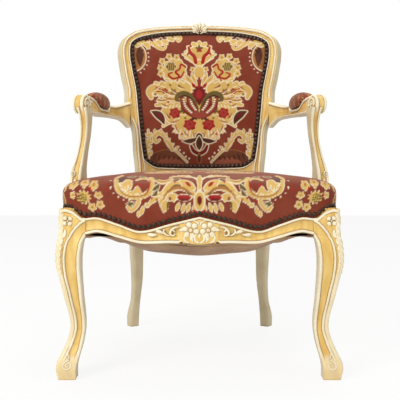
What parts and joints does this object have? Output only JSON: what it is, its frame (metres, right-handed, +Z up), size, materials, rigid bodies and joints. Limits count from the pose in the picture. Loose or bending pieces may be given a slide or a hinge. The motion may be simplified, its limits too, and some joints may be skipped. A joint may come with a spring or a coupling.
{
  "type": "upholstered armchair",
  "caption": "Carved and painted open armchair with cabriole legs, bowed padded back, padded arms and a sprung, nailed velvet seat.",
  "frame": {"origin": "on the floor in the middle of the footprint", "axes": "+Z up, -Y to the front, +X to the right of someone looking at the front"},
  "size_m": [0.6456, 0.6464, 0.9005],
  "materials": {
    "painted_beech": "cream paint with gilded hollows and brown patina",
    "velvet": "figured velvet",
    "stuffing": "hair stuffing under muslin",
    "canvas": "coarse woven canvas",
    "webbing": "woven jute",
    "spring_steel": "coppered wire",
    "screw_steel": "plain",
    "nail_bronze": "antiqued"
  },
  "bodies": {
    "root": {"arm_left": "painted_beech", "arm_right": "painted_beech", "arm_support_left": "painted_beech", "arm_support_right": "painted_beech", "corner_blocks": "painted_beech", "crest_rail": "painted_beech", "front_leg_left": "painted_beech", "front_leg_right": "painted_beech", "front_rail": "painted_beech", "lower_back_rail": "painted_beech", "rear_leg_left": "painted_beech", "rear_leg_right": "painted_beech", "rear_rail": "painted_beech", "side_rail_left": "painted_beech", "side_rail_right": "painted_beech", "seat_cover": "velvet", "back_pad": "velvet", "arm_pad_left": "velvet", "arm_pad_right": "velvet", "back_outside_cloth": "velvet", "seat_stuffing": "stuffing", "seat_hessian": "canvas", "back_canvas": "canvas", "bottom_cloth": "canvas", "seat_webbing": "webbing", "seat_springs": "spring_steel", "block_screws": "screw_steel", "seat_nails": "nail_bronze", "back_nails": "nail_bronze", "outside_nails": "nail_bronze"}
  },
  "joints": []
}
